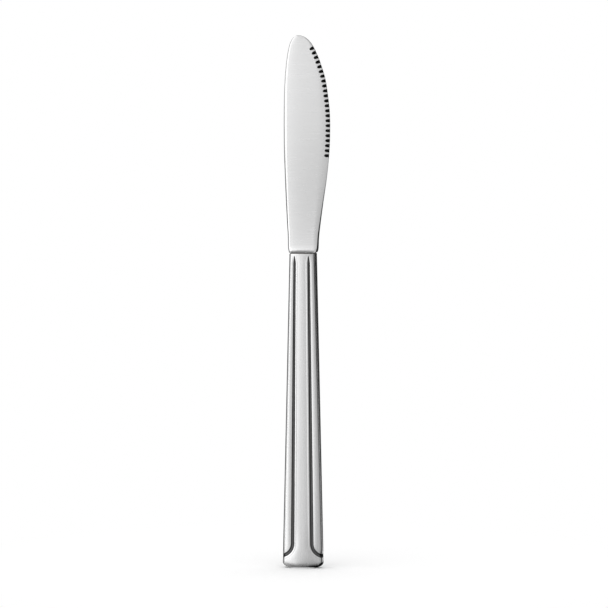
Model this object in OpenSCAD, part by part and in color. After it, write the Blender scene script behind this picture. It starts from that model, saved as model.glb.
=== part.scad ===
// Table knife with a hollow handle, standing on its butt with the tip up.
// The origin is the middle of the butt's flat end, the cutting edge is towards +X and the front towards -Y.

/* [Whole knife] */
// Length from the butt to the tip
knife_len = 210; // [195:1:235]
// Length of the handle's shells, from the butt to the mouth
handle_len = 124.5; // [110:0.5:130]

/* [Handle] */
// Width at the butt
butt_w = 16.35; // [14:0.05:18]
// Width at the mouth
mouth_w = 10.3; // [9.6:0.1:12]
// Thickness at the butt
butt_t = 5.3; // [5:0.1:6.6]
// Thickness at the mouth
mouth_t = 8.2; // [7.6:0.1:9.2]
// Radius of the four long edges
edge_r = 1.1; // [0.6:0.1:1.4]
// Drop of the front face from its middle to its sides
crown = 0.35; // [0.1:0.05:0.5]
// Inward lean of the side faces from the seam to the long edges
side_lean = 0.15; // [0.05:0.05:0.3]
// Half width taken off by the rounding of the butt
butt_round_w = 5; // [3:0.1:5.2]
// Half thickness taken off by the rounding of the butt
butt_round_t = 0.5; // [0.3:0.05:0.6]
// Height of the rounding of the butt
butt_round_h = 2.4; // [1.6:0.1:2.6]
// Radius of the rim at the mouth
mouth_round = 0.15; // [0.1:0.05:0.4]

/* [Grooves] */
// Distance of a groove from the handle's middle at the butt
groove_butt_x = 3.9; // [3.2:0.05:4]
// Distance of a groove from the handle's middle at the mouth
groove_mouth_x = 2.75; // [2.4:0.05:2.9]
// Width of a groove at the butt
groove_butt_w = 1.6; // [1:0.05:2]
// Width of a groove at the mouth
groove_mouth_w = 1.05; // [0.8:0.05:1.3]
// Depth of a groove
groove_d = 0.6; // [0.3:0.05:0.7]
// Distance of a groove's pointed end from the mouth
groove_end = 0.8; // [0.5:0.1:4]
// Length over which a groove narrows to its point
groove_point = 3; // [2:0.5:8]
// Height at which a groove starts to turn outwards
groove_turn_z = 9.8; // [9:0.1:20]
// Radius of the turn
groove_turn_r = 5; // [4.5:0.1:5.4]
// Drop of the band beside a groove, towards the groove
roll_d = 0.13; // [0.05:0.01:0.25]
// Width over which the band drops
roll_w = 1.5; // [0.8:0.1:2]
// Drop of the panel towards a groove, along the handle
panel_roll_d = 0.05; // [0.02:0.01:0.1]
// Drop of the panel towards a groove, round the turn
turn_roll_d = 0.13; // [0.05:0.01:0.25]
// Width over which the panel drops towards a groove
panel_roll_w = 2.4; // [1:0.1:2.6]
// Height over which the panel's drop changes above the turn
roll_change_h = 6; // [2:0.5:12]
// Width of the raised lip on the panel's side of a groove
lip_w = 0.6; // [0.3:0.05:0.8]
// Height of the lip
lip_h = 0.04; // [0:0.005:0.15]

/* [Shells and joints] */
// Thickness of the shells' sheet
wall = 1; // [0.9:0.05:1.2]
// Thickness of the closed end at the butt, up to the hollow
end_wall = 1.6; // [1.2:0.1:3]
// Height over which the hollow rounds up to its full depth
hollow_round = 3; // [2:0.5:8]
// Thickness of the solder film between the shells
seam_t = 0.2; // [0.1:0.02:0.3]
// How far the solder film lies below the handle's sides
seam_inset = 0.05; // [0.02:0.01:0.1]
// Thickness of the solder ring between the mouth and the shoulder
joint_t = 0.3; // [0.2:0.05:0.6]
// How far the solder ring lies below the handle's face
joint_inset = 0.35; // [0.2:0.05:0.45]
// Clearance round the cement core
core_gap = 0.1; // [0.05:0.01:0.2]
// Distance of the cement core's top from the mouth
core_drop = 0.3; // [0.2:0.1:5]

/* [Tang] */
// Length of the tang inside the handle
tang_len = 55; // [30:1:80]
// Width of the tang at the shoulder
tang_w = 5.4; // [4:0.1:5.6]
// Width of the tang at its end
tang_end_w = 3.6; // [2.5:0.1:4]
// Thickness of the tang
tang_t = 2.4; // [1.8:0.1:2.8]

/* [Blade] */
// Reach of the spine from the handle's middle
spine_reach = 7.7; // [6.5:0.05:9]
// Reach of the cutting edge from the handle's middle
edge_reach = 10.68; // [8.5:0.02:13]
// Distance of the tip from the handle's middle, towards the spine
tip_x = 1.95; // [0:0.05:3]
// Half width of the neck above the shoulder
neck_reach = 5.85; // [5.4:0.05:6.4]
// Distance from the tip down to the widest place
belly_drop = 35; // [28:0.5:40]
// Inset of the shoulder from the handle's face
shoulder_inset = 0.1; // [0.05:0.05:0.2]
// Height over which the shoulder sweeps in to the neck
shoulder_h = 3.2; // [1.5:0.1:5]
// Thickness of the neck
neck_t = 5.2; // [3.4:0.1:5.6]
// Thickness of the spine near the tip
tip_t = 1.2; // [0.9:0.1:1.8]
// Thickness of the blade beside the cutting edge
edge_t = 1.05; // [0.8:0.05:1.4]
// Drop of the face from its crown to the spine
spine_drop = 0.1; // [0:0.02:0.2]
// Length of the heel, over which the edge thins from the neck
heel_len = 42; // [25:1:42]

/* [Teeth] */
// Distance of the first tooth groove from the tip, along the knife
teeth_start = 4.8; // [4:0.1:12]
// Distance of the last tooth groove from the tip, along the knife
teeth_end = 47.6; // [30:1:52]
// Distance from one tooth groove to the next along the edge
tooth_pitch = 1.97; // [1.6:0.01:2.6]
// Radius of a tooth groove
tooth_r = 0.6; // [0.4:0.02:0.7]
// Length of a tooth groove in from the edge
tooth_len = 1.7; // [1:0.1:2]
// Metal left behind a tooth groove at the edge
tooth_web = 0.08; // [0.05:0.01:0.2]

/* [Hidden] */

// Outlines from the tip to the widest place: share of the way, share of the reach
spine_tip_shares = [[0, 0], [0.1, 0.22], [0.18, 0.38], [0.3, 0.57], [0.45, 0.74], [0.6, 0.865],
    [0.75, 0.955], [0.88, 0.99], [1, 1]];
edge_tip_shares = [[0, 0], [0.1, 0.14], [0.18, 0.251], [0.28, 0.385], [0.4, 0.522], [0.55, 0.69],
    [0.7, 0.85], [0.85, 0.949], [0.93, 0.988], [1, 1]];
// Outlines from the shoulder to the widest place: share of the height, share from the neck to the reach
spine_heel_shares = [[0, 0], [0.06, 0.02], [0.14, 0.08], [0.2, 0.18], [0.32, 0.38], [0.5, 0.63],
    [0.65, 0.8], [0.8, 0.95], [1, 1]];
edge_heel_shares = [[0, 0], [0.06, 0], [0.13, 0.05], [0.25, 0.215], [0.41, 0.45], [0.57, 0.7],
    [0.73, 0.885], [0.86, 0.975], [1, 1]];
// Places across the blade, as shares of its width from the spine
blade_shares = [0, 0.02, 0.06, 0.15, 0.35, 0.6, 0.75, 0.87, 0.94, 0.98, 1];
// Drop of the last ring below the very tip
tip_flat = 0.05;
// Width of the rounded part of the blade's section, as a share of its width where it is widest
spine_round_share = 0.06;
edge_round_share = 0.22;
// Thickness left at the very spine, at the very edge and at the heel's foot, as a share of what is beside it
spine_end_share = 0.25;
edge_end_share = 0.45;
heel_end_share = 1;
// Powers of the curves that thin the blade across its width, at the spine, and towards the tip and the edge
across_power = 1.5;
spine_power = 6;
along_power = 2;
// Depth across a groove, from its middle out to its side
groove_shares = [1, 0.93, 0.7, 0.3, 0];
// Power of the curve that rounds the butt
butt_power = 2.2;

// Wall beside the hollow where the hollow starts, as a share of the wall
hollow_start_share = 1.5;
// Power of the curve that crowns the handle's face
crown_power = 2;

shoulder_z = handle_len + joint_t;
blade_len = knife_len - shoulder_z;
belly_z = knife_len - belly_drop;
groove_top = handle_len - groove_end;
least_r = edge_r / 2;
tooth_overrun = 3 * tooth_len;

// Numbers of steps round the corners, across the bands and along the knife
corner_steps = 3;
band_steps = 4;
ring_corner_steps = 3;
butt_steps = 4;
turn_steps = 12;
long_steps = 4;
point_steps = 3;
rim_steps = 2;
shoulder_steps = 5;
heel_steps = 10;
tip_steps = 15;
tooth_sides = 24;
// Power that crowds the steps towards the shoulder's foot and towards the tip
crowding = 2;

function mix(a, b, share) = a + (b - a) * share;
function clamp(a, low, high) = min(max(a, low), high);
function easing(share) = 1 - sqrt(1 - pow(clamp(share, 0, 1), 2));

// Smooth curve through a table of places and values
function table_slope(table, i) =
    let (a = table[max(i - 1, 0)], b = table[min(i + 1, len(table) - 1)]) (b[1] - a[1]) / (b[0] - a[0]);
function table_value(table, place) =
    let (
        i = max([for (k = [0:len(table) - 2]) table[k][0] <= place ? k : 0]),
        a = table[i],
        b = table[i + 1],
        step = b[0] - a[0],
        u = (place - a[0]) / step
    )
    a[1] * (2 * pow(u, 3) - 3 * pow(u, 2) + 1) + b[1] * (3 * pow(u, 2) - 2 * pow(u, 3))
    + step * (table_slope(table, i) * (pow(u, 3) - 2 * pow(u, 2) + u)
        + table_slope(table, i + 1) * (pow(u, 3) - pow(u, 2)));

// Body lofted through rings that have the same number of points, listed against the clock from above.
// Each end is closed by a strip between the first half of its ring and the second, cut along the diagonals
// that lean away from the ring's two turning places.
module loft(rings) {
    count = len(rings[0]);
    last = (len(rings) - 1) * count;
    strip = [for (j = [0:count / 2 - 2])
        let (k = count - 1 - j)
        each j < count / 4 ? [[j, j + 1, k], [j + 1, k - 1, k]] : [[j, j + 1, k - 1], [j, k - 1, k]]];
    polyhedron(
        points = [for (ring = rings) each ring],
        faces = concat(
            strip,
            [for (i = [0:len(rings) - 2], j = [0:count - 1])
                let (a = i * count + j, b = i * count + (j + 1) % count)
                each [[a, a + count, b + count], [a, b + count, b]]],
            [for (face = strip) [for (k = [2:-1:0]) last + face[k]]]
        ),
        convexity = 10
    );
}

// Handle's outer size at a height, less an inset
function butt_share(z) = 1 - pow(1 - pow(clamp(1 - z / butt_round_h, 0, 1), butt_power), 1 / butt_power);
function mouth_share(z) = easing((z - handle_len + mouth_round) / mouth_round);
function full_half_w(z) = mix(butt_w, mouth_w, z / handle_len) / 2;
function full_half_t(z) = mix(butt_t, mouth_t, z / handle_len) / 2;
function half_w(z) = full_half_w(z) - butt_round_w * butt_share(z) - mouth_round * mouth_share(z);
function half_t(z) = full_half_t(z) - butt_round_t * butt_share(z) - mouth_round * mouth_share(z);

// Groove: its middle, half width and depth at a height, and a point's distance from its middle line
function groove_x(z) = mix(groove_butt_x, groove_mouth_x, z / handle_len);
function groove_point_share(z) = sqrt(clamp((groove_top - z) / groove_point, 0, 1));
function groove_half_w(z) = mix(groove_butt_w, groove_mouth_w, z / handle_len) / 2 * groove_point_share(z);
function groove_distance(x, z) =
    z >= groove_turn_z ? groove_x(z) - x
    : norm([groove_x(groove_turn_z) + groove_turn_r - x, groove_turn_z - z]) - groove_turn_r;
function panel_roll(z) = mix(panel_roll_d, turn_roll_d, clamp((turn_top - z) / roll_change_h + 1, 0, 1));
function roll_depth(off, half, z) =
    off < 0 ? roll_d * pow(clamp(1 - (-off - half) / roll_w, 0, 1), 2)
    : panel_roll(z) * pow(clamp(1 - (off - half) / panel_roll_w, 0, 1), 2);
function groove_depth(x, z) =
    let (off = groove_distance(x, z), half = groove_half_w(z), place = half > 0 ? abs(off) / half : 1,
        steps = len(groove_shares) - 1, k = clamp(floor(place * steps), 0, steps - 1),
        sunk = place >= 1 ? 0 : groove_d * mix(groove_shares[k], groove_shares[k + 1], place * steps - k))
    groove_point_share(z) * max(sunk, roll_depth(off, half, z));
function lip_height(x, z) =
    let (place = (groove_distance(x, z) - groove_half_w(z)) / lip_w)
    lip_h * groove_point_share(z) * (place <= 0 || place >= 1 ? 0 : sin(180 * place));

// Right half of the front section, from the middle of the face to the seam
function face_places(z) =
    let (g = groove_x(z), half = mix(groove_butt_w, groove_mouth_w, z / handle_len) / 2,
        inner = g - half - lip_w, end = full_half_w(z) - side_lean - edge_r)
    concat(
        [0, inner, inner + lip_w / 2],
        [for (k = [-1:0.5:1]) g + k * half],
        [for (k = [1:band_steps]) mix(g + half, end, k / band_steps)]
    );
function right_section(z, inset, grooved) =
    let (
        scale_t = half_t(z) / full_half_t(z),
        r = max(edge_r * scale_t - inset, least_r),
        w = half_w(z) - inset,
        t = half_t(z) - inset,
        drop = crown * scale_t,
        end = w - side_lean - r,
        places = face_places(z),
        fit = end / places[len(places) - 1]
    )
    concat(
        [for (place = places)
            let (x = place * fit, dip = grooved ? groove_depth(x, z) - lip_height(x, z) : 0)
            [x, -(t - drop * pow(x / w, crown_power) - dip)]],
        [for (k = [1:corner_steps])
            let (a = 90 * k / corner_steps, x = end + r * sin(a), dip = grooved ? groove_depth(x, z) : 0)
            [x - dip * sin(a), -(t - drop * pow(x / w, crown_power) - r + (r - dip) * cos(a))]],
        [[w, -seam_t / 2]]
    );
function both_sides(half) =
    concat([for (k = [len(half) - 1:-1:1]) [-half[k][0], half[k][1]]], half);

// Hollow of the handle: how deep it is at a height, as a share of its full depth
function hollow_share(z) = 1 - easing(1 - (z - end_wall) / hollow_round);
function hollow_half_w(z) = half_w(z) - wall * mix(hollow_start_share, 1, hollow_share(z));
function hollow_half(z) =
    let (
        half = right_section(max(z, butt_round_h), wall, false),
        last = len(half) - 1,
        share = hollow_share(z),
        w = hollow_half_w(z)
    )
    [for (k = [0:last])
        [w * mix(k / last, half[k][0] / half[last][0], share), mix(-seam_t / 2, half[k][1], share)]];

// Heights of the handle's rings, closer where the shape turns
butt_heights = [for (k = [0:butt_steps - 1]) butt_round_h * (1 - cos(90 * k / butt_steps))];
turn_top = groove_turn_z + groove_butt_w / 2;
turn_heights = [for (k = [0:turn_steps - 1]) mix(butt_round_h, turn_top, k / turn_steps)];
long_heights = [for (k = [0:long_steps - 1]) mix(turn_top, groove_top - groove_point, k / long_steps)];
point_heights = [for (k = [0:point_steps]) groove_top - groove_point * pow(1 - k / point_steps, crowding)];
rim_heights = [for (k = [0:rim_steps]) handle_len - mouth_round * (1 - sin(90 * k / rim_steps))];
handle_heights = concat(butt_heights, turn_heights, long_heights, point_heights, rim_heights);

function shell_ring(z) =
    let (
        outer = both_sides(right_section(z, 0, true)),
        inner = both_sides(hollow_half(z)),
        last = len(inner) - 1
    )
    concat([for (p = outer) [p[0], p[1], z]], [for (k = [last:-1:0]) [inner[k][0], inner[k][1], z]]);

module handle_shell() {
    loft([for (z = handle_heights) shell_ring(z)]);
}

module front_handle_shell() {
    color([0.78, 0.78, 0.79]) handle_shell();
}

module back_handle_shell() {
    color([0.74, 0.74, 0.75]) mirror([0, 1, 0]) handle_shell();
}

// Solder film in the plane of the seam, along both sides and round the butt
module seam_outline(inset) {
    right = [for (z = handle_heights) [half_w(z) - inset, z]];
    last = len(right) - 1;
    polygon(concat(right, [for (k = [last:-1:0]) [-right[k][0], right[k][1]]]));
}

module hollow_outline() {
    right = [for (z = handle_heights) if (z > end_wall) [hollow_half_w(z), z]];
    last = len(right) - 1;
    over = [[right[last][0], handle_len + joint_t]];
    start = [[hollow_half_w(end_wall), end_wall]];
    all = concat(start, right, over);
    polygon(concat(all, [for (k = [len(all) - 1:-1:0]) [-all[k][0], all[k][1]]]));
}

module seam_solder() {
    color([0.85, 0.84, 0.8])
        rotate([90, 0, 0])
        linear_extrude(height = seam_t, center = true)
        difference() {
            seam_outline(seam_inset);
            hollow_outline();
        }
}

// Section of the mouth, whole, with an inset from the handle's face
function mouth_half(inset) = right_section(handle_len - mouth_round, inset, false);
module mouth_outline(inset) {
    front = both_sides(mouth_half(inset));
    polygon(concat(front, [for (k = [len(front) - 1:-1:0]) [front[k][0], -front[k][1]]]));
}

module mouth_solder() {
    color([0.45, 0.45, 0.45])
        translate([0, 0, handle_len])
        linear_extrude(height = joint_t)
        difference() {
            mouth_outline(joint_inset);
            mouth_outline(wall);
        }
}

// Ring of a box with rounded corners, against the clock from above
function box_ring(half_x, half_y, r, z) =
    [for (corner = [[-1, -1, 180], [1, -1, 270], [1, 1, 0], [-1, 1, 90]], k = [0:ring_corner_steps])
        let (a = corner[2] + 90 * k / ring_corner_steps)
        [corner[0] * (half_x - r) + r * cos(a), corner[1] * (half_y - r) + r * sin(a), z]];

function tang_half_w(z) = mix(tang_w, tang_end_w, (shoulder_z - z) / tang_len) / 2;

module tang_cement() {
    top = handle_len - core_drop;
    pocket_floor = shoulder_z - tang_len - core_gap;
    sides = wall + core_gap;
    bottom = end_wall + hollow_round;
    heights = concat([bottom], [for (z = handle_heights) if (z > bottom && z < top) z], [top]);
    core = [for (z = heights)
        box_ring(hollow_half_w(z) - core_gap - side_lean, full_half_t(z) - sides - crown, least_r, z)];
    pocket = [for (z = [top, pocket_floor])
        box_ring(tang_half_w(z) + core_gap, tang_t / 2 + core_gap, core_gap, z)];
    color([0.62, 0.6, 0.56]) loft(concat(core, pocket));
}

// Blade outline: place of the spine and of the cutting edge at a height
function tip_way(z) = sqrt(clamp((knife_len - z) / belly_drop, 0, 1));
function heel_way(z) = (z - shoulder_z) / (belly_z - shoulder_z);
function spine_x(z) =
    z >= belly_z ? -tip_x - (spine_reach - tip_x) * table_value(spine_tip_shares, tip_way(z))
    : -mix(neck_reach, spine_reach, table_value(spine_heel_shares, heel_way(z)));
function edge_x(z) =
    z >= belly_z ? -tip_x + (edge_reach + tip_x) * table_value(edge_tip_shares, tip_way(z))
    : mix(neck_reach, edge_reach, table_value(edge_heel_shares, heel_way(z)));

// Blade half thickness at the spine and at the edge
function thinning(z, length) = pow(clamp(1 - (z - shoulder_z) / length, 0, 1), along_power);
function spine_half_t(z) = mix(tip_t, neck_t, thinning(z, blade_len)) / 2;
function edge_half_t(z) = mix(edge_t, neck_t, thinning(z, heel_len)) / 2;

// Shoulder: share of it left at a height above the handle
function shoulder_share(z) = easing(1 - (z - shoulder_z) / shoulder_h);
function round_share(share, width) = 1 - easing(1 - share / width);
function edge_end(z) = mix(edge_end_share, heel_end_share, thinning(z, heel_len));
function edge_round(z) = edge_round_share * (edge_x(z) - spine_x(z)) / (edge_reach + spine_reach);
function blade_half_t(z, share) =
    (mix(spine_half_t(z), edge_half_t(z), pow(share, across_power))
        - spine_drop * pow(1 - share, spine_power))
    * mix(spine_end_share, 1, round_share(share, spine_round_share))
    * mix(edge_end(z), 1, round_share(1 - share, edge_round(z)));
function shoulder_half_t(share) =
    let (r = edge_r / mouth_w)
    mouth_t / 2 - shoulder_inset - crown * pow(2 * share - 1, crown_power)
    - edge_r * (1 - min(round_share(share, r), round_share(1 - share, r)));

function blade_ring(z) =
    let (
        k = shoulder_share(z),
        left = mix(spine_x(z), -mouth_w / 2 + shoulder_inset, k),
        right = mix(edge_x(z), mouth_w / 2 - shoulder_inset, k),
        front = [for (s = blade_shares)
            [mix(left, right, s), -mix(blade_half_t(z, s), shoulder_half_t(s), k), z]],
        last = len(front) - 1
    )
    concat(front, [for (i = [last:-1:0]) [front[i][0], -front[i][1], z]]);

function tang_ring(z) =
    let (
        front = [for (s = blade_shares) [mix(-1, 1, s) * tang_half_w(z), -tang_t / 2, z]],
        last = len(front) - 1
    )
    concat(front, [for (i = [last:-1:0]) [front[i][0], -front[i][1], z]]);

blade_heights = concat(
    [for (k = [0:shoulder_steps - 1]) shoulder_z + shoulder_h * pow(k / shoulder_steps, crowding)],
    [for (k = [0:heel_steps - 1]) mix(shoulder_z + shoulder_h, belly_z, k / heel_steps)],
    [for (k = [tip_steps:-1:1]) knife_len - belly_drop * pow(k / tip_steps, crowding)],
    [knife_len - tip_flat]
);

// Heights of the tooth grooves, one pitch apart along the edge
function edge_slope(z) = (edge_x(z + tooth_r) - edge_x(z - tooth_r)) / (2 * tooth_r);
function tooth_heights(z) =
    z < knife_len - teeth_end ? []
    : concat([z], tooth_heights(z - tooth_pitch / sqrt(1 + pow(edge_slope(z), 2))));

module tooth_groove(z) {
    face_t = blade_half_t(z, 1 - tooth_len / (edge_x(z) - spine_x(z)));
    back = edge_half_t(z) * edge_end(z) - tooth_web;
    tilt = atan((face_t + back) / tooth_len);
    translate([edge_x(z), back, z])
        rotate([0, atan(edge_slope(z)), 0])
        rotate([0, -90, 0])
        rotate([tilt, 0, 0])
        translate([0, -tooth_r, -tooth_len])
        cylinder(h = tooth_len + tooth_overrun, r = tooth_r, $fn = tooth_sides);
}

module blade() {
    color([0.8, 0.8, 0.81])
        difference() {
            loft(concat([for (z = [shoulder_z - tang_len, shoulder_z]) tang_ring(z)],
                [for (z = blade_heights) blade_ring(z)]));
            for (z = tooth_heights(knife_len - teeth_start)) tooth_groove(z);
        }
}

blade();
front_handle_shell();
back_handle_shell();
seam_solder();
mouth_solder();
tang_cement();
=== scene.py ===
import math

import bmesh
import bpy
import numpy as np
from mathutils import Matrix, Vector


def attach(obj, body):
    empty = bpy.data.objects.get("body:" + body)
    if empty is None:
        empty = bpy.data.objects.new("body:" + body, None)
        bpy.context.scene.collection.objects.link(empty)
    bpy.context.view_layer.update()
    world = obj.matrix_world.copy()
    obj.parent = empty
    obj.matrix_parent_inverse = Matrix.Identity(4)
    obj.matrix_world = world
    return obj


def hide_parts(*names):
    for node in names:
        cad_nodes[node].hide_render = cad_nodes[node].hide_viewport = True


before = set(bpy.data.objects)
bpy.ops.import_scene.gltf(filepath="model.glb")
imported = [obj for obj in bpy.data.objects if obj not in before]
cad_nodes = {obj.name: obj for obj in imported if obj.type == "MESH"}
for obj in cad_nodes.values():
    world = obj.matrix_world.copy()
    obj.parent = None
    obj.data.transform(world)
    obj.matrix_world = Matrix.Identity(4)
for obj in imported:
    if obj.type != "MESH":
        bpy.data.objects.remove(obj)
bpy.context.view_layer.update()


# ---- Handle: two half shells -------------------------------------------------------------------------
# Each shell is pressed from 1 mm stainless sheet. The press sinks the two long grooves, which turn
# outwards above the butt, and raises a fine bead along them. The shells are brazed edge to edge and satin
# polished as one handle.

mm = 0.001
handle_length = 124.5
butt_width, mouth_width = 16.35, 10.3
butt_thickness, mouth_thickness = 5.3, 8.2
long_edge_radius = 1.1
face_crown = 0.35
side_lean = 0.15
butt_round_width, butt_round_thickness, butt_round_height, butt_round_power = 5, 0.5, 2.4, 2.2
mouth_rim_radius = 0.15
sheet = 1
end_wall = 1.6
hollow_round, hollow_end_wall_share = 3, 1.5
seam_gap = 0.2

groove_place_butt, groove_place_mouth = 3.9, 2.75
groove_width_butt, groove_width_mouth = 1.6, 1.05
groove_depth = 0.6
groove_inner_power, groove_outer_power = 1.3, 0.7
groove_top = handle_length - 0.8
groove_point_length = 3
groove_turn_height, groove_turn_radius = 9.8, 5
band_roll_depth, band_roll_width = 0.13, 1.5
panel_roll_depth, turn_roll_depth, panel_roll_width = 0.05, 0.13, 2.4
turn_zone_top, roll_change_height = groove_turn_height + groove_width_butt / 2, 6
bead_width, bead_height = 0.6, 0.04


def between(a, b, share):
    return a + (b - a) * share


def limited(value, low=0.0, high=1.0):
    return min(max(value, low), high)


def quarter_round(share):
    """How far a quarter circle has dropped at a share of its run."""
    return 1 - math.sqrt(1 - limited(share) ** 2)


def handle_half_size(z):
    """Half width and half thickness at a height, in full and then with the butt and the mouth rounded."""
    way = z / handle_length
    full_width = between(butt_width, mouth_width, way) / 2
    full_thickness = between(butt_thickness, mouth_thickness, way) / 2
    near_butt = limited(1 - z / butt_round_height)
    butt = 1 - (1 - near_butt**butt_round_power) ** (1 / butt_round_power)
    rim = mouth_rim_radius * quarter_round((z - handle_length + mouth_rim_radius) / mouth_rim_radius)
    width = full_width - butt_round_width * butt - rim
    thickness = full_thickness - butt_round_thickness * butt - rim
    return full_width, full_thickness, width, thickness


def groove_size(z):
    """Place, half width and fullness of a groove at a height. The fullness is 0 at the groove's point."""
    way = z / handle_length
    fullness = math.sqrt(limited((groove_top - z) / groove_point_length))
    return (
        between(groove_place_butt, groove_place_mouth, way),
        between(groove_width_butt, groove_width_mouth, way) / 2 * fullness,
        fullness,
    )


def groove_shape(x, z):
    """Depth, height of the bead, and how deep the place lies in the groove itself, for a place on the right
    half of the face. The face also rolls down a little on both sides of the groove."""
    place, half, fullness = groove_size(z)
    if z >= groove_turn_height:
        off = place - x
    else:
        turn_x = groove_size(groove_turn_height)[0] + groove_turn_radius
        off = math.hypot(turn_x - x, groove_turn_height - z) - groove_turn_radius
    if half <= 0:
        return 0.0, 0.0, 0.0
    inside = limited(1 - (off / half) ** 2) ** (groove_inner_power if off > 0 else groove_outer_power)
    if off < 0:
        roll = band_roll_depth * limited(1 - (-off - half) / band_roll_width) ** 2
    else:
        near_turn = limited((turn_zone_top - z) / roll_change_height + 1)
        panel_roll = between(panel_roll_depth, turn_roll_depth, near_turn)
        roll = panel_roll * limited(1 - (off - half) / panel_roll_width) ** 2
    bead = (off - half) / bead_width
    raised = math.sin(math.pi * bead) if 0 < bead < 1 else 0.0
    return fullness * max(groove_depth * inside, roll), bead_height * fullness * raised, fullness * inside


panel_steps, groove_steps, band_steps, corner_steps, side_steps = 8, 44, 26, 8, 6
groove_margin = 0.12


def right_half_section(z, inset, pressed):
    """Points from the middle of the face to the seam, as x, y and how deep they lie in the groove."""
    full_width, full_thickness, width, thickness = handle_half_size(z)
    scale = thickness / full_thickness
    radius = max(long_edge_radius * scale - inset, long_edge_radius / 2)
    width -= inset
    thickness -= inset
    drop = face_crown * scale
    face_end = width - side_lean - radius
    way = z / handle_length
    place = between(groove_place_butt, groove_place_mouth, way)
    half = between(groove_width_butt, groove_width_mouth, way) / 2
    panel_end = place - half - bead_width - groove_margin
    band_start = place + half + groove_margin
    full_end = full_width - side_lean - long_edge_radius
    places = np.concatenate((
        np.linspace(0, panel_end, panel_steps, endpoint=False),
        np.linspace(panel_end, band_start, groove_steps, endpoint=False),
        np.linspace(band_start, full_end, band_steps + 1),
    )) * (face_end / full_end)
    points = []
    for x in places:
        depth, raised, sunk = groove_shape(x, z) if pressed else (0.0, 0.0, 0.0)
        points.append((x, -(thickness - drop * (x / width) ** 2 - depth + raised), sunk))
    for k in range(1, corner_steps + 1):
        turn = math.pi / 2 * k / corner_steps
        x = face_end + radius * math.sin(turn)
        depth, _, sunk = groove_shape(x, z) if pressed else (0.0, 0.0, 0.0)
        y = -(thickness - drop * (x / width) ** 2 - radius + (radius - depth) * math.cos(turn))
        points.append((x - depth * math.sin(turn), y, sunk))
    corner_x, corner_y, corner_sunk = points[-1]
    for k in range(1, side_steps + 1):
        share = k / side_steps
        points.append((
            between(corner_x, width, share),
            between(corner_y, -seam_gap / 2, share),
            corner_sunk * (1 - share) ** 2,
        ))
    return points


def hollow_half_section(z):
    """The same for the hollow, which is closed at the butt and rounds up to its full depth."""
    points = right_half_section(max(z, butt_round_height), sheet, False)
    fullness = 1 - quarter_round(1 - (z - end_wall) / hollow_round)
    width = handle_half_size(z)[2] - sheet * between(hollow_end_wall_share, 1, fullness)
    last = len(points) - 1
    return [
        (width * between(k / last, x / points[last][0], fullness), between(-seam_gap / 2, y, fullness), 0.0)
        for k, (x, y, _) in enumerate(points)
    ]


def both_halves(points):
    return [(-x, y, mark) for x, y, mark in points[:0:-1]] + points


def smooth_body(name, vertices, faces, crease_degrees):
    """Closed mesh object with its normals outwards, smooth but for edges sharper than the crease angle."""
    mesh = bpy.data.meshes.new(name)
    mesh.from_pydata([tuple(c * mm for c in v) for v in vertices], [], faces)
    made = bmesh.new()
    made.from_mesh(mesh)
    bmesh.ops.recalc_face_normals(made, faces=made.faces)
    made.to_mesh(mesh)
    made.free()
    mesh.shade_smooth()
    mesh.set_sharp_from_angle(angle=math.radians(crease_degrees))
    body = bpy.data.objects.new(name, mesh)
    bpy.context.scene.collection.objects.link(body)
    return body


def mark_vertices(body, name, values):
    layer = body.data.attributes.new(name, "FLOAT", "POINT")
    layer.data.foreach_set("value", np.array(values, dtype=np.float32))


point_start = groove_top - groove_point_length
butt_rings, straight_rings, point_rings, mouth_rings = 16, 60, 26, 5
turn_ring_step = 0.1
shell_heights = np.concatenate((
    [butt_round_height * (1 - math.cos(math.pi / 2 * k / butt_rings)) for k in range(butt_rings)],
    np.arange(butt_round_height, turn_zone_top, turn_ring_step),
    np.linspace(turn_zone_top, point_start, straight_rings, endpoint=False),
    [groove_top - groove_point_length * (1 - k / point_rings) ** 2 for k in range(point_rings + 1)],
    np.linspace(groove_top, handle_length - mouth_rim_radius, mouth_rings)[1:-1],
    [
        handle_length - mouth_rim_radius * (1 - math.sin(math.pi / 2 * k / mouth_rings))
        for k in range(mouth_rings + 1)
    ],
))
shell_crease = 40


def handle_shell(name, side):
    """One shell, whose rings run along the outside and back along the hollow. The side is 1 for the front
    and -1 for the back."""
    vertices, groove_marks = [], []
    for z in shell_heights:
        outside = both_halves(right_half_section(z, 0, True))
        hollow = both_halves(hollow_half_section(z))
        for x, y, mark in outside + hollow[::-1]:
            vertices.append((x, side * y, z))
            groove_marks.append(mark)
    outer_count = len(outside)
    count = 2 * outer_count
    faces = []
    for i in range(len(shell_heights) - 1):
        for j in range(count):
            a, b = i * count + j, i * count + (j + 1) % count
            faces.append((a, a + count, b + count, b))
    for first in (0, (len(shell_heights) - 1) * count):
        for j in range(outer_count - 1):
            faces.append((first + j, first + j + 1, first + count - 2 - j, first + count - 1 - j))
    shell = smooth_body(name, vertices, faces, shell_crease)
    # The groove mark is where the handle's material paints shade into the grooves.
    mark_vertices(shell, "groove", groove_marks)
    return shell


def new_material(name):
    material = bpy.data.materials.new(name)
    material.use_nodes = True
    nodes, links = material.node_tree.nodes, material.node_tree.links
    return material, nodes, links, nodes["Principled BSDF"]


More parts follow.
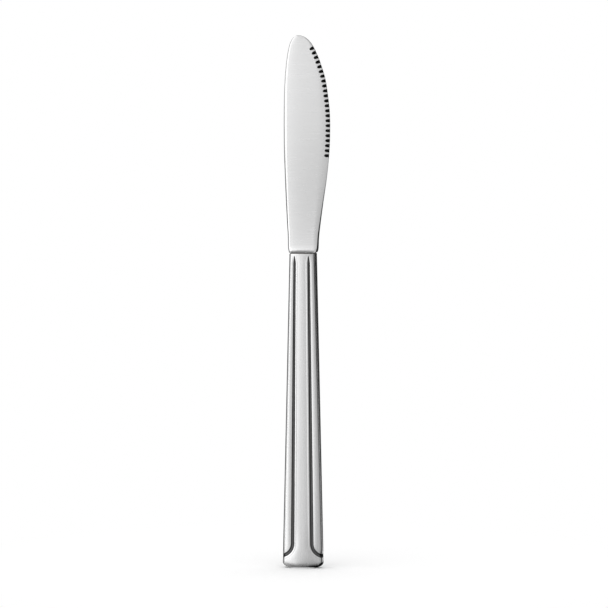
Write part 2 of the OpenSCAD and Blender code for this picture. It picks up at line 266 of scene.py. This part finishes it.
def fine_brushing_group():
    """Satin polish: fine lines drawn out one way, and the softer clouds that polishing and handling
    leave."""
    group = bpy.data.node_groups.new("satin polish", "ShaderNodeTree")
    starts = {"Lines Along X": 900.0, "Lines Along Y": 900.0, "Lines Along Z": 60.0, "Cloud Scale": 45.0}
    for name, start in starts.items():
        socket = group.interface.new_socket(name, in_out="INPUT", socket_type="NodeSocketFloat")
        socket.default_value = start
    for name in ("Lines", "Clouds"):
        group.interface.new_socket(name, in_out="OUTPUT", socket_type="NodeSocketFloat")
    nodes, links = group.nodes, group.links
    given, result = nodes.new("NodeGroupInput"), nodes.new("NodeGroupOutput")
    place = nodes.new("ShaderNodeTexCoord")
    combine = nodes.new("ShaderNodeCombineXYZ")
    stretch = nodes.new("ShaderNodeVectorMath")
    stretch.operation = "MULTIPLY"
    for axis in "XYZ":
        links.new(given.outputs[f"Lines Along {axis}"], combine.inputs[axis])
    links.new(place.outputs["Object"], stretch.inputs[0])
    links.new(combine.outputs[0], stretch.inputs[1])
    lines = nodes.new("ShaderNodeTexNoise")
    lines.inputs["Scale"].default_value = 1.0
    lines.inputs["Detail"].default_value = 3.0
    links.new(stretch.outputs[0], lines.inputs["Vector"])
    clouds = nodes.new("ShaderNodeTexNoise")
    clouds.inputs["Detail"].default_value = 2.0
    links.new(place.outputs["Object"], clouds.inputs["Vector"])
    links.new(given.outputs["Cloud Scale"], clouds.inputs["Scale"])
    links.new(lines.outputs["Fac"], result.inputs["Lines"])
    links.new(clouds.outputs["Fac"], result.inputs["Clouds"])
    return group


satin_polish = fine_brushing_group()


def ranged(nodes, links, source, low, high, from_low=0.0, from_high=1.0):
    """Map Range node that carries a value over to another range."""
    node = nodes.new("ShaderNodeMapRange")
    node.inputs["From Min"].default_value = from_low
    node.inputs["From Max"].default_value = from_high
    node.inputs["To Min"].default_value = low
    node.inputs["To Max"].default_value = high
    links.new(source, node.inputs["Value"])
    return node.outputs["Result"]


def mixed(nodes, links, kind, share, first, second):
    """Mix node of colours or values. Each end is a socket or a constant."""
    node = nodes.new("ShaderNodeMix")
    node.data_type = kind
    ends = (("A", first), ("B", second))
    sockets = {s.name: s for s in node.inputs if s.enabled}
    links.new(share, sockets["Factor"])
    for key, end in ends:
        if isinstance(end, bpy.types.NodeSocket):
            links.new(end, sockets[key])
        else:
            sockets[key].default_value = (*end, 1.0) if kind == "RGBA" else end
    return next(s for s in node.outputs if s.enabled)


mark_full_low, mark_full_high = 0.03, 0.3
line_low, line_high, line_roughness = 0.3, 0.7, 0.04
line_bump_strength, line_bump_distance = 0.06, 0.00001


def satin_steel(name, bright, dull, roughness, lines, painted_shade_mark, painted_shade_colour, dark_roughness):
    """Satin stainless steel. Where the mesh carries the mark, deep in its hollows, the base colour is
    painted near black as painted shade, and the steel is rougher there."""
    material, nodes, links, shader = new_material(name)
    polish = nodes.new("ShaderNodeGroup")
    polish.node_tree = satin_polish
    for axis, value in zip("XYZ", lines):
        polish.inputs[f"Lines Along {axis}"].default_value = value
    mark = nodes.new("ShaderNodeAttribute")
    mark.attribute_name = painted_shade_mark
    painted_shade_share = ranged(nodes, links, mark.outputs["Fac"], 0.0, 1.0, mark_full_low, mark_full_high)
    clean = mixed(nodes, links, "RGBA", polish.outputs["Clouds"], bright, dull)
    # Painted shade: the marked hollows take the near black colour in place of the steel's.
    shade = mixed(nodes, links, "RGBA", painted_shade_share, clean, painted_shade_colour)
    links.new(shade, shader.inputs["Base Color"])
    lined = ranged(
        nodes, links, polish.outputs["Lines"], roughness - line_roughness, roughness + line_roughness,
        line_low, line_high,
    )
    links.new(mixed(nodes, links, "FLOAT", painted_shade_share, lined, dark_roughness), shader.inputs["Roughness"])
    bump = nodes.new("ShaderNodeBump")
    bump.inputs["Strength"].default_value = line_bump_strength
    bump.inputs["Distance"].default_value = line_bump_distance
    links.new(polish.outputs["Lines"], bump.inputs["Height"])
    links.new(bump.outputs["Normal"], shader.inputs["Normal"])
    shader.inputs["Metallic"].default_value = 1.0
    return material


# The pressed grooves get painted shade: their colour is painted near black (0.12).
handle_steel = satin_steel(
    "handle satin steel", (0.80, 0.80, 0.80), (0.76, 0.76, 0.765), 0.25, (4000, 4000, 80),
    "groove", (0.12, 0.12, 0.12), 0.36,
)
front_handle_shell = handle_shell("front_shell_pressed", 1)
back_handle_shell = handle_shell("back_shell_pressed", -1)
for shell, node in ((front_handle_shell, "front_handle_shell"), (back_handle_shell, "back_handle_shell")):
    shell.data.materials.append(handle_steel)
    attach(shell, "root")
    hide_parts(node)


# ---- Solder of the seam and of the mouth -------------------------------------------------------------
# Hard silver solder, drawn by heat into the joint between the shells and under the blade's shoulder. It
# is wiped back and ground, so it sits a hair below the steel and shows as a fine duller line.

solder_material, solder_nodes, solder_links, solder_shader = new_material("hard solder")
solder_grain_scale, solder_grain_detail = 900.0, 4.0
solder_smooth, solder_rough = 0.35, 0.6
solder_grain = solder_nodes.new("ShaderNodeTexNoise")
solder_place = solder_nodes.new("ShaderNodeTexCoord")
solder_grain.inputs["Scale"].default_value = solder_grain_scale
solder_grain.inputs["Detail"].default_value = solder_grain_detail
solder_links.new(solder_place.outputs["Object"], solder_grain.inputs["Vector"])
solder_dark, solder_bright = (0.11, 0.105, 0.10), (0.19, 0.185, 0.175)
solder_links.new(
    mixed(solder_nodes, solder_links, "RGBA", solder_grain.outputs["Fac"], solder_dark, solder_bright),
    solder_shader.inputs["Base Color"],
)
solder_links.new(
    ranged(
        solder_nodes, solder_links, solder_grain.outputs["Fac"], solder_smooth, solder_rough,
        line_low, line_high,
    ),
    solder_shader.inputs["Roughness"],
)
solder_shader.inputs["Metallic"].default_value = 1.0


def dress_cad_node(name, material):
    """The CAD shape is right as it is, so it stays and takes its finish."""
    cad_nodes[name].data.materials.clear()
    cad_nodes[name].data.materials.append(material)


dress_cad_node("seam_solder", solder_material)
dress_cad_node("mouth_solder", solder_material)


# ---- Cement core -------------------------------------------------------------------------------------
# Grey filled resin cement, poured into the hollow handle round the tang. It sets hard and holds the
# blade.

cement_material, cement_nodes, cement_links, cement_shader = new_material("cast cement")
cement_grain_scale, cement_grain_detail = 650.0, 6.0
cement_smooth, cement_rough = 0.75, 0.95
cement_bump_strength, cement_bump_distance = 0.5, 0.0001
cement_grain = cement_nodes.new("ShaderNodeTexNoise")
cement_place = cement_nodes.new("ShaderNodeTexCoord")
cement_grain.inputs["Scale"].default_value = cement_grain_scale
cement_grain.inputs["Detail"].default_value = cement_grain_detail
cement_links.new(cement_place.outputs["Object"], cement_grain.inputs["Vector"])
cement_dark, cement_light = (0.36, 0.34, 0.31), (0.52, 0.50, 0.46)
cement_links.new(
    mixed(cement_nodes, cement_links, "RGBA", cement_grain.outputs["Fac"], cement_dark, cement_light),
    cement_shader.inputs["Base Color"],
)
cement_links.new(
    ranged(cement_nodes, cement_links, cement_grain.outputs["Fac"], cement_smooth, cement_rough),
    cement_shader.inputs["Roughness"],
)
cement_bump = cement_nodes.new("ShaderNodeBump")
cement_bump.inputs["Strength"].default_value = cement_bump_strength
cement_bump.inputs["Distance"].default_value = cement_bump_distance
cement_links.new(cement_grain.outputs["Fac"], cement_bump.inputs["Height"])
cement_links.new(cement_bump.outputs["Normal"], cement_shader.inputs["Normal"])
dress_cad_node("tang_cement", cement_material)


# ---- Blade -------------------------------------------------------------------------------------------
# One forging of hardened stainless steel, satin ground: the rounded blade, its neck and shoulder, and the
# tang inside the handle. The small flutes are ground into the front of the edge with a round wheel, one
# pitch apart.

knife_length = 210
joint_gap = 0.3
shoulder_height = handle_length + joint_gap
blade_length = knife_length - shoulder_height
spine_reach, edge_reach, tip_place, neck_reach = 7.7, 10.68, 1.95, 5.85
belly_drop = 35
belly_height = knife_length - belly_drop
tip_flat = 0.05
shoulder_inset, shoulder_sweep = 0.1, 3.2
neck_thickness, tip_thickness, edge_thickness = 5.2, 1.2, 1.05
spine_drop, spine_power = 0.1, 6
heel_length = 42
tang_length, tang_width, tang_end_width, tang_thickness = 55, 5.4, 3.6, 2.4
spine_round, edge_round = 0.06, 0.22
spine_end, edge_end, heel_end = 0.25, 0.45, 1
tip_round, tip_end = 0.5, 0.5
across_power = 1.5
# Curves of the spine and of the edge, as shares of the way and of the reach, from the tip to the belly and
# from the shoulder to the belly.
spine_tip_table = (
    (0, 0), (0.1, 0.22), (0.18, 0.38), (0.3, 0.57), (0.45, 0.74), (0.6, 0.865), (0.75, 0.955),
    (0.88, 0.99), (1, 1),
)
edge_tip_table = (
    (0, 0), (0.1, 0.14), (0.18, 0.251), (0.28, 0.385), (0.4, 0.522), (0.55, 0.69), (0.7, 0.85),
    (0.85, 0.949), (0.93, 0.988), (1, 1),
)
spine_heel_table = (
    (0, 0), (0.06, 0.02), (0.14, 0.08), (0.2, 0.18), (0.32, 0.38), (0.5, 0.63), (0.65, 0.8),
    (0.8, 0.95), (1, 1),
)
edge_heel_table = (
    (0, 0), (0.06, 0), (0.13, 0.05), (0.25, 0.215), (0.41, 0.45), (0.57, 0.7), (0.73, 0.885),
    (0.86, 0.975), (1, 1),
)


def table_slope(table, i):
    a, b = table[max(i - 1, 0)], table[min(i + 1, len(table) - 1)]
    return (b[1] - a[1]) / (b[0] - a[0])


def table_value(table, place):
    """Smooth curve through a table of places and values."""
    i = max(k for k in range(len(table) - 1) if table[k][0] <= place or k == 0)
    a, b = table[i], table[i + 1]
    step = b[0] - a[0]
    u = (place - a[0]) / step
    ends = a[1] * (2 * u**3 - 3 * u**2 + 1) + b[1] * (3 * u**2 - 2 * u**3)
    bends = table_slope(table, i) * (u**3 - 2 * u**2 + u) + table_slope(table, i + 1) * (u**3 - u**2)
    return ends + step * bends


def spine_x(z):
    if z >= belly_height:
        way = math.sqrt(limited((knife_length - z) / belly_drop))
        return -tip_place - (spine_reach - tip_place) * table_value(spine_tip_table, way)
    way = (z - shoulder_height) / (belly_height - shoulder_height)
    return -between(neck_reach, spine_reach, table_value(spine_heel_table, way))


def edge_x(z):
    if z >= belly_height:
        way = math.sqrt(limited((knife_length - z) / belly_drop))
        return -tip_place + (edge_reach + tip_place) * table_value(edge_tip_table, way)
    way = (z - shoulder_height) / (belly_height - shoulder_height)
    return between(neck_reach, edge_reach, table_value(edge_heel_table, way))


def edge_slope(z):
    step = 0.01
    z = min(z, knife_length - 2 * step)
    return (edge_x(z + step) - edge_x(z - step)) / (2 * step)


def blade_half_thickness(z, share):
    """Taper ground from the spine to the edge, with both rounded over."""
    def thinning(length):
        return limited(1 - (z - shoulder_height) / length) ** 2

    spine = between(tip_thickness, neck_thickness, thinning(blade_length)) / 2
    edge = between(edge_thickness, neck_thickness, thinning(heel_length)) / 2
    rounded = between(spine_end, 1, 1 - quarter_round(1 - share / spine_round))
    round_here = edge_round * (edge_x(z) - spine_x(z)) / (edge_reach + spine_reach)
    end_here = between(edge_end, heel_end, thinning(heel_length))
    rounded *= between(end_here, 1, 1 - quarter_round(1 - (1 - share) / round_here))
    rounded *= between(tip_end, 1, 1 - quarter_round(1 - (knife_length - z) / tip_round))
    return (between(spine, edge, share**across_power) - spine_drop * (1 - share) ** spine_power) * rounded


def shoulder_half_thickness(share):
    """The shoulder has the section of the handle's mouth, a hair smaller."""
    radius = long_edge_radius / mouth_width
    corner = max(quarter_round(1 - share / radius), quarter_round(1 - (1 - share) / radius))
    crown = face_crown * (2 * share - 1) ** 2
    return mouth_thickness / 2 - shoulder_inset - crown - long_edge_radius * corner


tooth_first_height = knife_length - 4.8
tooth_last_height = knife_length - 47.6
tooth_pitch, tooth_radius, tooth_length, tooth_web = 1.97, 0.6, 1.7, 0.08
tooth_face = 0.5
full_mark_depth = 0.05
fine_zone, tip_zone = 2.4, 3.2
narrow_blade = 6
blade_crease = 22

# Heights of the rings: few on the plain blade, close together along the teeth, and closer where these turn
# in towards the tip.
teeth_below, turned_teeth, teeth_above = 1, 12, 3
tooth_ring_step, turned_tooth_ring_step = 0.11, 0.07
shoulder_rings, plain_rings, above_rings, tip_rings = 14, 46, 110, 30
blade_heights = np.concatenate((
    [shoulder_height + shoulder_sweep * (k / shoulder_rings) ** 2 for k in range(shoulder_rings)],
    np.linspace(
        shoulder_height + shoulder_sweep, tooth_last_height - teeth_below, plain_rings, endpoint=False,
    ),
    np.arange(tooth_last_height - teeth_below, tooth_first_height - turned_teeth, tooth_ring_step),
    np.arange(
        tooth_first_height - turned_teeth, tooth_first_height - teeth_above, turned_tooth_ring_step,
    ),
    np.linspace(
        tooth_first_height - teeth_above, knife_length - tip_zone - tip_flat, above_rings, endpoint=False,
    ),
    [knife_length - tip_zone * (1 - k / tip_rings) ** 2 - tip_flat for k in range(tip_rings + 1)],
))
spine_shares = [0.0, 0.004, 0.01, 0.018, 0.028, 0.04, 0.055, 0.075, 0.1]
across_shares = np.concatenate((spine_shares, np.linspace(0.14, 1, 16)))
fine_insets = np.linspace(fine_zone, 0, 25)[1:]


def edge_lengths(heights):
    """Length along the cutting edge from the first tooth down to each height, negative above it."""
    grid = np.linspace(shoulder_height, knife_length - tip_flat, 6000)
    xs = np.array([edge_x(z) for z in grid])
    along = np.concatenate(([0], np.cumsum(np.hypot(np.diff(xs), np.diff(grid)))))
    return np.interp(tooth_first_height, grid, along) - np.interp(heights, grid, along)


def blade_front_places(left, right):
    """Places across the blade, with even fine steps beside the cutting edge for the teeth."""
    width = right - left
    fine = fine_insets * min(1, width / narrow_blade)
    body_end = width - fine_zone * min(1, width / narrow_blade)
    return np.concatenate((left + across_shares * body_end, right - fine))


def blade_body():
    vertices, ways, insets, fronts = [], [], [], []

    def add_ring(front, z, way=-1000.0, slope=0.0):
        right = front[-1][0]
        turn = math.atan(slope)
        for side in (1, -1):
            for x, y in front[::side]:
                inward = right - x
                vertices.append((x, side * y, z))
                ways.append(way + inward * math.sin(turn))
                insets.append(inward * math.cos(turn))
                fronts.append(1.0 if side == 1 and way > -999 else 0.0)

    place_count = len(across_shares) + len(fine_insets)
    for z in (shoulder_height - tang_length, shoulder_height):
        half = between(tang_width, tang_end_width, (shoulder_height - z) / tang_length) / 2
        across = [half * between(-1, 1, k / (place_count - 1)) for k in range(place_count)]
        add_ring([(x, -tang_thickness / 2) for x in across], z)
    lengths = edge_lengths(blade_heights)
    for z, way in zip(blade_heights, lengths):
        near = quarter_round(1 - (z - shoulder_height) / shoulder_sweep)
        left = between(spine_x(z), -mouth_width / 2 + shoulder_inset, near)
        right = between(edge_x(z), mouth_width / 2 - shoulder_inset, near)
        front = []
        for x in blade_front_places(left, right):
            share = limited((x - left) / (right - left))
            thin = blade_half_thickness(z, share)
            half = between(thin, shoulder_half_thickness(share), near)
            front.append((x, -half))
        add_ring(front, z, way, edge_slope(z))
    count = 2 * place_count
    rings = len(blade_heights) + 2
    faces = []
    for i in range(rings - 1):
        for j in range(count):
            a, b = i * count + j, i * count + (j + 1) % count
            faces.append((a, a + count, b + count, b))
    for first in (0, (rings - 1) * count):
        for j in range(place_count - 1):
            faces.append((first + j, first + j + 1, first + count - 2 - j, first + count - 1 - j))
    body = smooth_body("ground_blade_blank", vertices, faces, blade_crease)
    mark_vertices(body, "edge_way", ways)
    mark_vertices(body, "edge_inset", insets)
    mark_vertices(body, "front_side", fronts)
    return body


def tooth_grinding_tree(finish):
    """Geometry Nodes tree that sinks one round flute after another into the front of the edge. A flute
    leaves the web at the very edge and runs out on the face at its length."""
    tree = bpy.data.node_groups.new("ground teeth", "GeometryNodeTree")
    tree.interface.new_socket("Geometry", in_out="INPUT", socket_type="NodeSocketGeometry")
    sizes = {
        "Pitch": tooth_pitch, "Radius": tooth_radius, "Length": tooth_length,
        "Back": edge_thickness / 2 * edge_end - tooth_web, "Face": tooth_face, "Last": 0.0,
    }
    for name, value in sizes.items():
        socket = tree.interface.new_socket(name, in_out="INPUT", socket_type="NodeSocketFloat")
        socket.default_value = value
    tree.interface.new_socket("Geometry", in_out="OUTPUT", socket_type="NodeSocketGeometry")
    nodes, links = tree.nodes, tree.links
    given, result = nodes.new("NodeGroupInput"), nodes.new("NodeGroupOutput")

    def read(name):
        node = nodes.new("GeometryNodeInputNamedAttribute")
        node.data_type = "FLOAT"
        node.inputs["Name"].default_value = name
        return node.outputs["Attribute"]

    def calc(operation, *values):
        node = nodes.new("ShaderNodeMath")
        node.operation = operation
        for socket, value in zip(node.inputs, values):
            if isinstance(value, bpy.types.NodeSocket):
                links.new(value, socket)
            else:
                socket.default_value = value
        return node.outputs[0]

    way, inset, front = read("edge_way"), read("edge_inset"), read("front_side")
    pitch, radius, length = given.outputs["Pitch"], given.outputs["Radius"], given.outputs["Length"]
    back, face = given.outputs["Back"], given.outputs["Face"]
    number = calc("ROUND", calc("DIVIDE", way, pitch))
    number = calc("MINIMUM", calc("MAXIMUM", number, 0.0), given.outputs["Last"])
    off = calc("SUBTRACT", way, calc("MULTIPLY", number, pitch))
    run = calc("DIVIDE", inset, length)
    bottom = calc("SUBTRACT", back, calc("MULTIPLY", calc("ADD", back, face), calc("MULTIPLY", run, run)))
    left_over = calc("SUBTRACT", calc("MULTIPLY", radius, radius), calc("MULTIPLY", off, off))
    rise = calc("SUBTRACT", radius, calc("SQRT", calc("MAXIMUM", left_over, 0.0)))
    ground = calc("SUBTRACT", bottom, rise)
    within = calc("LESS_THAN", calc("ABSOLUTE", off), radius)
    position = nodes.new("GeometryNodeInputPosition")
    parts = nodes.new("ShaderNodeSeparateXYZ")
    links.new(position.outputs[0], parts.inputs[0])
    face_y = calc("DIVIDE", parts.outputs["Y"], mm)
    cut = calc("MAXIMUM", calc("SUBTRACT", ground, face_y), 0.0)
    cut = calc("MULTIPLY", calc("MULTIPLY", cut, within), front)
    offset = nodes.new("ShaderNodeCombineXYZ")
    links.new(calc("MULTIPLY", cut, mm), offset.inputs["Y"])
    # The flute mark is where the blade's material paints shade into the flutes.
    mark = nodes.new("GeometryNodeStoreNamedAttribute")
    mark.data_type, mark.domain = "FLOAT", "POINT"
    mark.inputs["Name"].default_value = "flute"
    links.new(given.outputs["Geometry"], mark.inputs["Geometry"])
    links.new(calc("MINIMUM", calc("DIVIDE", cut, full_mark_depth), 1.0), mark.inputs["Value"])
    move = nodes.new("GeometryNodeSetPosition")
    links.new(mark.outputs[0], move.inputs["Geometry"])
    links.new(offset.outputs[0], move.inputs["Offset"])
    realize = nodes.new("GeometryNodeRealizeInstances")
    wear = nodes.new("GeometryNodeSetMaterial")
    wear.inputs["Material"].default_value = finish
    links.new(move.outputs[0], realize.inputs[0])
    links.new(realize.outputs[0], wear.inputs["Geometry"])
    links.new(wear.outputs[0], result.inputs[0])
    return tree


def ground_with_teeth(blank, name, finish):
    """The blank with its teeth ground, as a plain mesh."""
    grinding = blank.modifiers.new("teeth", "NODES")
    grinding.node_group = tooth_grinding_tree(finish)
    items = grinding.node_group.interface.items_tree
    sockets = {s.name: s.identifier for s in items if s.in_out == "INPUT"}
    last_length = edge_lengths(np.array([tooth_last_height]))[0]
    grinding[sockets["Last"]] = float(math.floor(last_length / tooth_pitch))
    ready = blank.evaluated_get(bpy.context.evaluated_depsgraph_get())
    mesh = bpy.data.meshes.new_from_object(ready)
    blank.modifiers.remove(grinding)
    bpy.data.objects.remove(blank)
    body = bpy.data.objects.new(name, mesh)
    bpy.context.scene.collection.objects.link(body)
    mesh.set_sharp_from_angle(angle=math.radians(blade_crease))
    return body


# The flutes get painted shade: their colour is painted near black (0.012).
blade_steel = satin_steel(
    "blade satin steel", (0.82, 0.82, 0.82), (0.78, 0.78, 0.785), 0.24, (70, 4000, 4000),
    "flute", (0.012, 0.012, 0.012), 0.38,
)
blade = ground_with_teeth(blade_body(), "ground_blade", blade_steel)
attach(blade, "root")
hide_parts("blade")


# ---- Studio ------------------------------------------------------------------------------------------
# White floor that keeps the soft shadow round the butt and fades to pure white further out, and a
# surround that only the steel mirrors: bright at the left, greyer at the front and dark at the right and
# overhead.

def stage_material(name):
    material = bpy.data.materials.new(name)
    material.use_nodes = True
    material.node_tree.nodes.clear()
    return material, material.node_tree.nodes, material.node_tree.links


def stage_object(name, vertices, faces, material):
    mesh = bpy.data.meshes.new(name)
    mesh.from_pydata(vertices, [], faces)
    mesh.materials.append(material)
    body = bpy.data.objects.new(name, mesh)
    bpy.context.scene.collection.objects.link(body)
    return body


def seen_directly(nodes, links):
    """1 for camera, glossy and transmission rays, 0 for the rays that light the scene."""
    rays = nodes.new("ShaderNodeLightPath")
    seen = rays.outputs["Is Camera Ray"]
    for kind in ("Is Glossy Ray", "Is Transmission Ray"):
        either = nodes.new("ShaderNodeMath")
        either.operation = "MAXIMUM"
        links.new(seen, either.inputs[0])
        links.new(rays.outputs[kind], either.inputs[1])
        seen = either.outputs[0]
    return seen


floor_half = 6
floor_paint = 0.88
shadow_inner, shadow_outer = 0.03, 0.14
floor_material, floor_nodes, floor_links = stage_material("white floor")
paint = floor_nodes.new("ShaderNodeBsdfDiffuse")
paint.inputs["Color"].default_value = (floor_paint, floor_paint, floor_paint, 1)
white = floor_nodes.new("ShaderNodeEmission")
floor_links.new(seen_directly(floor_nodes, floor_links), white.inputs["Strength"])
floor_place = floor_nodes.new("ShaderNodeTexCoord")
reach = floor_nodes.new("ShaderNodeVectorMath")
reach.operation = "LENGTH"
floor_links.new(floor_place.outputs["Object"], reach.inputs[0])
far_share = ranged(floor_nodes, floor_links, reach.outputs["Value"], 0.0, 1.0, shadow_inner, shadow_outer)
fade = floor_nodes.new("ShaderNodeMixShader")
floor_links.new(far_share, fade.inputs["Fac"])
floor_links.new(paint.outputs[0], fade.inputs[1])
floor_links.new(white.outputs[0], fade.inputs[2])
floor_out = floor_nodes.new("ShaderNodeOutputMaterial")
floor_links.new(fade.outputs[0], floor_out.inputs["Surface"])
floor_corners = [(floor_half * a, floor_half * b, 0) for a, b in ((-1, -1), (1, -1), (1, 1), (-1, 1))]
stage_object("floor", floor_corners, [(0, 1, 2, 3)], floor_material)

# The surround's tone by azimuth, and how much of it the floor shows at a distance from the knife; the
# surround's foot lies just above the floor and stands in for it in the steel's reflections. Close to the
# knife the foot is darker and more even, on the right most of all, as a painted shadow of the knife in
# these reflections, and the wall behind on the right is dark.
surround_tones = (
    (-180, 0.03), (-125, 0.05), (-105, 0.06), (-92, 0.16), (-80, 0.55), (-68, 1.2), (-58, 1.1),
    (-51, 0.82), (-43, 0.82), (-38, 1.5), (-34, 2.2), (-24, 2.1), (-17, 1.32), (-12, 1.09), (-8, 0.92),
    (-3, 0.8), (1, 0.76), (9, 0.71), (17, 0.68), (31, 0.66), (60, 0.6), (80, 0.38), (92, 0.08),
    (105, 0.03), (123, 0.05), (130, 1.0), (144, 1.0), (150, 0.1), (157, 0.02), (180, 0.02),
)
near_floor_shares = (
    (0.001, 0.09), (0.005, 0.21), (0.008, 0.4), (0.0135, 0.57), (0.02, 0.64), (0.03, 0.69),
    (0.04, 0.71), (0.12, 0.73), (0.22, 0.755), (0.38, 0.775), (0.71, 0.83), (1.0, 0.87),
)
open_floor_share, right_shade, right_shade_power = 0.73, 20, 6
dark_wall_azimuth, dark_wall_share = 100, 0.3
surround_lift, surround_height = 0.0004, 1.1
surround_step = 2
overhead_rim_tone, overhead_middle_tone = 0.6, 0.08


def mirrored_only(name, vertices, faces, tones):
    """Glowing sheet with its own tone at each vertex. Only the steel's reflections see it."""
    material, nodes, links = stage_material(name)
    tone = nodes.new("ShaderNodeAttribute")
    tone.attribute_name = "tone"
    light = nodes.new("ShaderNodeEmission")
    links.new(tone.outputs["Fac"], light.inputs["Strength"])
    out = nodes.new("ShaderNodeOutputMaterial")
    links.new(light.outputs[0], out.inputs["Surface"])
    sheet_body = stage_object(name, vertices, faces, material)
    mark_vertices(sheet_body, "tone", tones)
    sheet_body.visible_camera = False
    sheet_body.visible_diffuse = False
    sheet_body.visible_transmission = False
    sheet_body.visible_volume_scatter = False
    sheet_body.visible_shadow = False


azimuths = np.arange(-180, 180, surround_step)
azimuth_tones = np.interp(azimuths, [a for a, _ in surround_tones], [t for _, t in surround_tones])
surround_rings = [(radius, surround_lift, share) for radius, share in near_floor_shares]
surround_rings.append((1.0, surround_height, 1.0))
surround_points, surround_values = [], []
for radius, height, share in surround_rings:
    for azimuth, tone in zip(np.radians(azimuths), azimuth_tones):
        surround_points.append((radius * math.sin(azimuth), -radius * math.cos(azimuth), height))
        open_share = limited(share / open_floor_share)
        on_right = max(math.sin(azimuth), 0) ** right_shade_power
        value = share * tone**open_share * open_share ** (right_shade * on_right)
        if radius == 1 and azimuth > math.radians(dark_wall_azimuth):
            value *= dark_wall_share
        surround_values.append(value)
around = len(azimuths)
surround_faces = []
for i in range(len(surround_rings) - 1):
    for j in range(around):
        a, b = i * around + j, i * around + (j + 1) % around
        surround_faces.append((a, b, b + around, a + around))
mirrored_only("surround", surround_points, surround_faces, surround_values)


overhead_points = [(math.sin(a), -math.cos(a), surround_height) for a in np.radians(azimuths)]
overhead_points.append((0, 0, surround_height))
overhead_faces = [(i, (i + 1) % around, around) for i in range(around)]
mirrored_only(
    "overhead", overhead_points, overhead_faces, [overhead_rim_tone] * around + [overhead_middle_tone],
)

lighting_strength = 1.1
world = bpy.data.worlds.new("white studio")
bpy.context.scene.world = world
world.use_nodes = True
world_nodes, world_links = world.node_tree.nodes, world.node_tree.links
background = world_nodes["Background"]
background.inputs["Color"].default_value = (1, 1, 1, 1)
world_links.new(
    ranged(world_nodes, world_links, seen_directly(world_nodes, world_links), lighting_strength, 1.0),
    background.inputs["Strength"],
)

key_size, key_energy, key_aim_height = 0.9, 1.2, 0.1
key = bpy.data.lights.new("soft key", "AREA")
key.shape = "SQUARE"
key.size = key_size
key.energy = key_energy
key_light = bpy.data.objects.new("soft key", key)
bpy.context.scene.collection.objects.link(key_light)
key_azimuth, key_elevation, key_distance = math.radians(-50), math.radians(65), 1.0
key_light.location = (
    key_distance * math.cos(key_elevation) * math.sin(key_azimuth),
    -key_distance * math.cos(key_elevation) * math.cos(key_azimuth),
    key_distance * math.sin(key_elevation) + key_aim_height,
)
key_aim = Vector((0, 0, key_aim_height))
key_light.rotation_euler = (key_aim - key_light.location).to_track_quat("-Z", "Y").to_euler()
key_light.visible_glossy = False

frame_pixels, pixel_size = 608, 0.3937
frame_width = frame_pixels * pixel_size * mm
view_azimuth, view_elevation, view_distance = math.radians(9.5), math.radians(4), 1.5
aim_height, aim_right = 0.10447, 0.0003
sensor_width = 36
camera_data = bpy.data.cameras.new("camera")
camera_data.sensor_width = sensor_width
camera_data.lens = camera_data.sensor_width * view_distance / frame_width
camera = bpy.data.objects.new("camera", camera_data)
bpy.context.scene.collection.objects.link(camera)
aim = Vector((aim_right * math.cos(view_azimuth), aim_right * math.sin(view_azimuth), aim_height))
camera.location = aim + view_distance * Vector((
    math.cos(view_elevation) * math.sin(view_azimuth),
    -math.cos(view_elevation) * math.cos(view_azimuth),
    math.sin(view_elevation),
))
camera.rotation_euler = (aim - camera.location).to_track_quat("-Z", "Y").to_euler()
bpy.context.scene.camera = camera
bpy.context.scene.view_settings.view_transform = "Standard"
